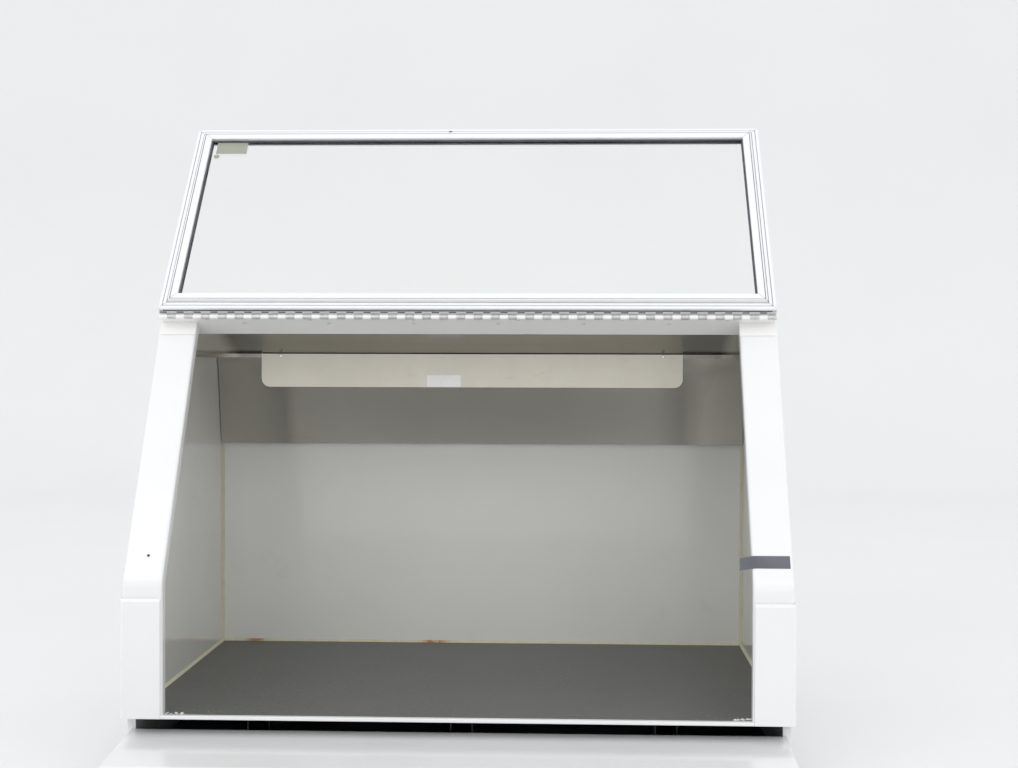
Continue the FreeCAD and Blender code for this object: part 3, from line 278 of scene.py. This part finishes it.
def plated_steel(name, color, roughness=0.28, metallic=1.0):
    """Small plated parts with mottled plating."""
    shader = Shader(name)
    mottle = shader.noise(160.0, 4.0)
    tone = shader.ramp(mottle, [(0.3, tint(color, 0.78)), (0.7, tint(color, 1.08))])
    shader.set(Base_Color=tone, Metallic=metallic)
    shader.set(Roughness=shader.spread(mottle, roughness * 0.7, roughness * 1.5))
    shader.bump(mottle, 0.08, 0.0002)
    return shader.material


def anodised_aluminium(name, color):
    """Extruded aluminium, satin anodised, with draw lines along the rail and paler worn edges."""
    shader = Shader(name)
    lines = shader.noise(6.0, 4.0, 0.6, (3.0, 300.0, 300.0))
    base = shader.ramp(lines, [(0.3, tint(color, 0.94)), (0.7, color)])
    shader.set(Base_Color=shader.mix(shader.worn_edges(), base, rgba(tint(color, 1.06))), Metallic=0.55)
    shader.set(Roughness=shader.spread(shader.noise(34.0), 0.30, 0.42), Anisotropic=0.3)
    shader.bump(lines, 0.06, 0.0002)
    return shader.material


def dark_slab(name):
    """Grey resin top: fine mottle, cloudy worn patches and a few pale specks of old residue."""
    shader = Shader(name)
    mottle = shader.noise(240.0, 5.0, 0.7)
    cloud = shader.noise(5.0, 5.0, 0.6)
    base = shader.ramp(mottle, [(0.30, (0.070, 0.070, 0.066)), (0.70, (0.150, 0.149, 0.141))])
    worn = shader.mix(shader.band(cloud, 0.40, 0.75), base, rgba((0.140, 0.139, 0.133)))
    specks = shader.band(shader.noise(150.0, 2.0, 0.5), 0.74, 0.79)
    shader.set(Base_Color=shader.mix(shader.math("MULTIPLY", specks, 0.5), worn, rgba((0.42, 0.41, 0.38))))
    shader.set(Roughness=shader.spread(cloud, 0.34, 0.52), Specular_IOR_Level=0.5)
    shader.bump(mottle, 0.16, 0.0004)
    return shader.material


def aged_sealant(name, clean, stain, stain_level, rust_spots=()):
    """Old caulk: lumpy, cream, rusty where the noise is high and at spots given by X and half width."""
    shader = Shader(name)
    lumps = shader.noise(70.0, 4.0)
    seep = shader.band(shader.noise(9.0, 6.0, 0.7), stain_level, stain_level + 0.10)
    base = shader.ramp(lumps, [(0.3, tint(clean, 0.86)), (0.7, clean)])
    color = shader.mix(seep, base, rgba(stain))
    for centre, half_width in rust_spots:
        away = shader.math("ABSOLUTE", shader.math("SUBTRACT", shader.axis("X"), centre))
        near = shader.band(shader.math("SUBTRACT", half_width, away), 0.0, half_width)
        patchy = shader.math("MULTIPLY", near, shader.band(lumps, 0.35, 0.55))
        color = shader.mix(patchy, color, rgba(RUST_COLOR))
    shader.set(Base_Color=color, Subsurface_Weight=0.05)
    shader.set(Roughness=shader.spread(lumps, 0.45, 0.7))
    shader.bump(lumps, 0.5, 0.0008)
    return shader.material


def soft_black(name, color, roughness=0.6):
    """Rubber, tape or moulding with a fine grain and paler bloom in patches."""
    shader = Shader(name)
    grain = shader.noise(500.0, 3.0)
    bloom = shader.noise(14.0, 4.0)
    base = shader.ramp(bloom, [(0.35, color), (0.8, tint(color, 1.7))])
    shader.set(Base_Color=base, Roughness=shader.spread(grain, roughness * 0.85, roughness * 1.15))
    shader.bump(grain, 0.15, 0.0002)
    return shader.material


def shield_stains_and_painted_glow(name, color):
    """Old cream enamel: warm mottling, beige stains, and whitish patches of painted glow that stand in for
    reflected light.
    """
    shader = Shader(name)
    cloud = shader.noise(9.0, 6.0, 0.65)
    base = shader.ramp(cloud, [(0.32, tint(color, 0.93)), (0.68, tint(color, 1.04))])
    # Painted glow: whitish patches that lighten the enamel as reflected light would
    glow_patches = shader.band(shader.noise(6.0, 3.0, 0.5), 0.60, 0.72)
    paler = shader.mix(shader.math("MULTIPLY", glow_patches, 0.55), base, rgba(tint(color, 1.22)))
    streak = shader.band(shader.noise(5.0, 5.0, 0.7, (1.0, 1.0, 4.0)), 0.64, 0.74)
    shader.set(Base_Color=shader.mix(shader.math("MULTIPLY", streak, 0.5), paler, rgba((0.55, 0.44, 0.29))))
    shader.set(Roughness=shader.spread(cloud, 0.30, 0.46), Coat_Weight=0.2, Coat_Roughness=0.1)
    shader.bump(shader.noise(380.0, 2.0), 0.06, 0.0005)
    return shader.material


def clear_pane(name):
    """Clear glass with a faint film of smears."""
    shader = Shader(name)
    smear = shader.noise(7.0, 5.0, 0.7, (1.0, 0.35, 0.35))
    shader.set(Base_Color=rgba((0.975, 0.985, 0.978)), Transmission_Weight=1.0, IOR=1.45)
    shader.set(Roughness=shader.spread(shader.band(smear, 0.55, 0.85), 0.0, 0.06))
    return shader.material


def paper_film(name, color, roughness=0.55):
    """A blank label: slightly mottled print stock."""
    shader = Shader(name)
    fibre = shader.noise(320.0, 4.0)
    fade = shader.noise(22.0, 3.0)
    fibres = shader.ramp(fibre, [(0.3, tint(color, 0.92)), (0.7, color)])
    faded = shader.ramp(fade, [(0.3, tint(color, 0.90)), (0.7, tint(color, 1.03))])
    shader.set(Base_Color=shader.mix(0.5, fibres, faded))
    shader.set(Roughness=shader.spread(fibre, roughness * 0.85, roughness * 1.1))
    shader.bump(fibre, 0.08, 0.0001)
    return shader.material


# Materials by the record's slots
MATERIALS = {
    "white_paint": painted_sheet("mat_white_paint", (0.87, 0.875, 0.88)),
    "header_paint": painted_sheet("mat_header_paint", (0.92, 0.92, 0.90), 0.34, 0.25),
    "cream_paint": shield_stains_and_painted_glow("mat_cream_paint", (0.70, 0.66, 0.565)),
    "liner_white": painted_sheet("mat_liner_white", (0.85, 0.85, 0.81), 0.16, 0.6, dirt_share=0.18),
    "stainless": brushed_steel("mat_stainless", (0.50, 0.48, 0.43), 0.26),
    "galvanised": plated_steel("mat_galvanised", (0.42, 0.42, 0.41), 0.42),
    "slab": dark_slab("mat_slab"),
    "sealant": aged_sealant("mat_sealant", (0.84, 0.78, 0.58), (0.50, 0.22, 0.05), 0.66, RUST_SPOTS),
    "aluminium": anodised_aluminium("mat_aluminium", (0.88, 0.88, 0.90)),
    "clear_glass": clear_pane("mat_clear_glass"),
    "gasket": soft_black("mat_gasket", (0.075, 0.080, 0.088)),
    "pad_rubber": soft_black("mat_pad_rubber", (0.035, 0.035, 0.035), 0.75),
    "hinge_steel": plated_steel("mat_hinge_steel", (0.72, 0.70, 0.67), 0.34, 0.5),
    "fastener_steel": plated_steel("mat_fastener_steel", (0.68, 0.68, 0.66), 0.2),
    "painted_rivet": painted_sheet("mat_painted_rivet", (0.76, 0.76, 0.74), 0.38, 0.2),
    "dark_fastener": soft_black("mat_dark_fastener", (0.022, 0.022, 0.024), 0.45),
    "lamp_glass": painted_sheet("mat_lamp_glass", (0.86, 0.87, 0.84), 0.12, 0.7, dirt_share=0.02),
    "lamp_plastic": soft_black("mat_lamp_plastic", (0.70, 0.70, 0.68), 0.35),
    "reflector_paint": painted_sheet("mat_reflector", (0.84, 0.84, 0.81), 0.3, 0.3),
    "label_film": paper_film("mat_label_film", (0.86, 0.86, 0.85)),
    "faded_label": paper_film("mat_faded_label", (0.36, 0.38, 0.31)),
    "dark_tape": soft_black("mat_dark_tape", (0.10, 0.10, 0.118), 0.5),
    "switch_plastic": soft_black("mat_switch", (0.026, 0.026, 0.026), 0.35),
}

# Materials of single nodes, instead of their slot's; the baffle's and the soffit's have reflections painted
# into their tone
NODE_MATERIALS = {
    "upper_baffle": sheet_with_painted_reflections("mat_baffle_painted_reflections", (0.56, 0.54, 0.485), 0.24, BAFFLE_PAINTED_REFLECTIONS),
    "soffit_panel": sheet_with_painted_reflections("mat_soffit_painted_reflections", (0.50, 0.48, 0.43), 0.20, SOFFIT_PAINTED_REFLECTIONS),
}

# Materials of the added pieces that don't use a slot's own, and the slots those pieces count under
DETAIL_MATERIALS = {
    # Painted shade in the sash frame's grooves, also used for its dark mitre joints
    "sash_grime": soft_black("mat_sash_shade_and_joints", (0.20, 0.19, 0.20), 0.7),
    "caulk_bits": aged_sealant("mat_caulk_bits", (0.90, 0.88, 0.82), (0.60, 0.45, 0.25), 0.70),
}
DETAIL_SLOTS = {"sash_grime": "aluminium", "caulk_bits": "sealant"}


def paint_nodes():
    """Give every CAD node its own material, or the one of its slot in the record."""
    for part in frame["record"]["subparts"]:
        node = frame["nodes"][part["node"]]
        node.data.materials.clear()
        material = NODE_MATERIALS.get(part["node"]) or MATERIALS[part["material_slot"]]
        node.data.materials.append(material)
        node["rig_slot"] = part["material_slot"]


# Detail pieces

def add_piece(name, mesh_builder, body, finish):
    """A piece from a bmesh, riding on a body. The finish is a slot or a detail material."""
    shape = bmesh.new()
    mesh_builder(shape)
    mesh = bpy.data.meshes.new(name)
    shape.to_mesh(mesh)
    shape.free()
    piece = bpy.data.objects.new(name, mesh)
    bpy.context.scene.collection.objects.link(piece)
    mesh.materials.append(DETAIL_MATERIALS.get(finish) or MATERIALS[finish])
    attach(piece, body)
    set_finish(piece, DETAIL_SLOTS.get(finish, finish))


def sash_place(x, along, forward):
    """A point on the open sash from millimetres across, up from the pin and out of its front."""
    sine, cosine = math.sin(SASH_LEAN), math.cos(SASH_LEAN)
    y = PIN_Y + along * sine - forward * cosine
    z = PIN_Z + along * cosine + forward * sine
    return Vector((x, y, z)) * MILLIMETRE


def sash_quad(shape, corners):
    """A face on the sash from four (x, along, forward) corners."""
    shape.faces.new([shape.verts.new(sash_place(*corner)) for corner in corners])


def frame_ring(shape, near, far, height):
    """Four mitred strips round the frame, between two insets from its outer edge."""
    def corners(inset):
        x, low, high = SASH_HALF - inset, SASH_START + inset, SASH_START + SASH_LENGTH - inset
        return [(-x, low), (x, low), (x, high), (-x, high)]
    outer, inner = corners(near), corners(far)
    for index in range(4):
        after = (index + 1) % 4
        sash_quad(shape, [(*outer[index], height), (*outer[after], height),
                          (*inner[after], height), (*inner[index], height)])


def mitre_line(shape, side, from_top):
    """A narrow strip over the section of the frame, along one corner's mitre."""
    def place(inset, height, shift):
        along = SASH_LENGTH - inset if from_top else inset
        return (side * (SASH_HALF - inset - shift), SASH_START + along, height + MARK_LIFT)
    for (near, low), (far, high) in zip(FRAME_FACE, FRAME_FACE[1:]):
        sash_quad(shape, [place(near, low, -MITRE_HALF_WIDTH), place(near, low, MITRE_HALF_WIDTH),
                          place(far, high, MITRE_HALF_WIDTH), place(far, high, -MITRE_HALF_WIDTH)])


def add_frame_lines():
    """Painted shade in the frame's grooves and in the foot of its step, and dark joint lines in its four
    mitred corners.
    """
    def build(shape):
        for near, far, height in GROOVE_SHADE_LINES:
            frame_ring(shape, near, far, height + MARK_LIFT)
        for side in (-1, 1):
            for from_top in (False, True):
                mitre_line(shape, side, from_top)
    add_piece("frame_shade_and_joints", build, "sash", "sash_grime")


def add_hinge_slot_shade():
    """Painted shade: dark patches along the frame's hinge edge where the slots between the knuckles show, one
    to each pair of knuckles.
    """
    pitch = 2 * SASH_HALF / KNUCKLE_PAIRS
    low, high = SLOT_HEIGHTS
    def build(shape):
        for index in range(KNUCKLE_PAIRS):
            left = -SASH_HALF + index * pitch + SLOT_END_GAP
            right = -SASH_HALF + index * pitch + pitch / 2 - SLOT_END_GAP
            along = SASH_START - MARK_LIFT
            sash_quad(shape, [(left, along, low), (right, along, low),
                              (right, along, high), (left, along, high)])
    # The painted shade takes the dark gasket rubber's material and slot
    add_piece("hinge_slot_shade", build, "sash", "gasket")


def shard(shape, centre, length, width, height, turn):
    """One torn bit of caulk: a low pointed wedge under an off-centre peak."""
    def corner(along, across, up):
        x = along * math.cos(turn) - across * math.sin(turn)
        y = along * math.sin(turn) + across * math.cos(turn)
        return shape.verts.new(centre + Vector((x, y, up)) * MILLIMETRE)
    tip = corner(length / 2, 0, 0)
    tail = corner(-length / 2, width * random.uniform(-0.3, 0.3), 0)
    left = corner(-length * random.uniform(0.0, 0.3), width / 2, 0)
    right = corner(-length * random.uniform(0.0, 0.3), -width / 2, 0)
    ridge = corner(length * random.uniform(-0.1, 0.1), 0, height)
    for first, second in ((tip, left), (left, tail), (tail, right), (right, tip)):
        shape.faces.new((first, second, ridge))
    shape.faces.new((tip, right, tail, left))


def add_broken_caulk():
    """Torn bits of sealant on the slab where the sleeves meet the sill, and scattered specks."""
    low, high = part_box("work_surface")
    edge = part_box("sleeve_right")[0].x - CAULK_FROM_SLEEVE * MILLIMETRE
    front = low.y + CAULK_FROM_FRONT * MILLIMETRE
    for side, name in ((-1, "caulk_bits_left"), (1, "caulk_bits_right")):
        def build(shape, side=side):
            for count, across, deep, *size in (CAULK_BITS, CAULK_SPECKS):
                for _ in range(count):
                    x = side * (edge - random.uniform(*across) * MILLIMETRE)
                    y = front + random.uniform(*deep) * MILLIMETRE
                    shard(shape, Vector((x, y, high.z)), *[random.uniform(*span) for span in size])
        add_piece(name, build, "cabinet", "caulk_bits")


# Studio

def add_stage_mesh(name, corners, faces):
    """A studio object, which isn't part of the model."""
    mesh = bpy.data.meshes.new(name)
    mesh.from_pydata(corners, [], faces)
    staged = bpy.data.objects.new(name, mesh)
    bpy.context.scene.collection.objects.link(staged)
    return staged


def add_sweep():
    """A pale floor that turns up into a wall well behind the hood, so that no horizon shows."""
    line = [(SWEEP_FRONT, FLOOR_RISE), (SWEEP_BEND_START, FLOOR_RISE)]
    for step in range(1, SWEEP_STEPS + 1):
        turn = step / SWEEP_STEPS * math.pi / 2
        line.append((SWEEP_BEND_START + SWEEP_RADIUS * math.sin(turn), SWEEP_RADIUS * (1 - math.cos(turn))))
    line.append((SWEEP_BEND_START + SWEEP_RADIUS, SWEEP_TOP))
    corners = [(side * SWEEP_HALF_WIDTH, y, z) for y, z in line for side in (-1, 1)]
    faces = [(2 * i, 2 * i + 1, 2 * i + 3, 2 * i + 2) for i in range(len(line) - 1)]
    sweep = add_stage_mesh("studio_sweep", corners, faces)
    for polygon in sweep.data.polygons:
        polygon.use_smooth = True
    shader = Shader("mat_studio")
    tone = shader.ramp(shader.noise(1.2, 2.0), [(0.3, tint(FLOOR_COLOR, 0.985)), (0.7, FLOOR_COLOR)])
    shader.set(Base_Color=tone, Roughness=0.75)
    sweep.data.materials.append(shader.material)


def add_reflection_card():
    """A banded grey card on the floor in front, which shows only in glossy reflections."""
    corners = [(-CARD_HALF_WIDTH, CARD_FRONT, CARD_RISE), (CARD_HALF_WIDTH, CARD_FRONT, CARD_RISE),
               (CARD_HALF_WIDTH, CARD_REAR, CARD_RISE), (-CARD_HALF_WIDTH, CARD_REAR, CARD_RISE)]
    card = add_stage_mesh("reflection_card", corners, [(0, 1, 2, 3)])
    card.visible_camera = False
    card.visible_diffuse = False
    card.visible_transmission = False
    card.visible_shadow = False
    shader = Shader("mat_card")
    across = shader.add("ShaderNodeMapRange", {"Value": shader.axis("X"), "From Min": -CARD_HALF_WIDTH,
                                               "From Max": CARD_HALF_WIDTH}).outputs["Result"]
    tone = shader.ramp(across, [(position, (level, level, level)) for position, level in CARD_GREYS])
    shader.set(Base_Color=rgba(BLACK), Emission_Color=tone, Emission_Strength=1.0, Roughness=1.0)
    card.data.materials.append(shader.material)


def add_light(name, place, power):
    data = bpy.data.lights.new(name, "AREA")
    data.shape = "RECTANGLE"
    data.size, data.size_y = LIGHT_SIZE
    data.energy = power
    light = bpy.data.objects.new(name, data)
    light.location = place
    aim = Vector(LIGHT_TARGET) - Vector(place)
    light.rotation_euler = aim.to_track_quat("-Z", "Y").to_euler()
    bpy.context.scene.collection.objects.link(light)


def add_studio():
    add_sweep()
    add_reflection_card()
    world = bpy.data.worlds.new("studio_world")
    world.use_nodes = True
    background = world.node_tree.nodes["Background"]
    background.inputs["Color"].default_value = rgba(WORLD_COLOR)
    background.inputs["Strength"].default_value = WORLD_STRENGTH
    bpy.context.scene.world = world
    add_light("key_light", KEY_PLACE, KEY_POWER)
    add_light("fill_light", FILL_PLACE, FILL_POWER)
    bpy.context.scene.view_settings.view_transform = "Standard"
    bpy.context.scene.view_settings.look = "None"


def add_camera():
    data = bpy.data.cameras.new("camera")
    data.sensor_width = CAMERA_SENSOR
    data.lens = CAMERA_LENS
    data.shift_y = CAMERA_SHIFT_Y
    camera = bpy.data.objects.new("camera", data)
    turn = Matrix.Rotation(CAMERA_YAW, 4, "Z") @ Matrix.Rotation(CAMERA_PITCH, 4, "X")
    turn = turn @ Matrix.Rotation(CAMERA_ROLL, 4, "Y") @ Matrix.Rotation(math.pi / 2, 4, "X")
    camera.matrix_world = Matrix.Translation(Vector(CAMERA_PLACE)) @ turn
    bpy.context.scene.collection.objects.link(camera)
    bpy.context.scene.camera = camera


paint_nodes()
add_broken_caulk()
add_frame_lines()
add_hinge_slot_shade()
add_camera()
add_studio()
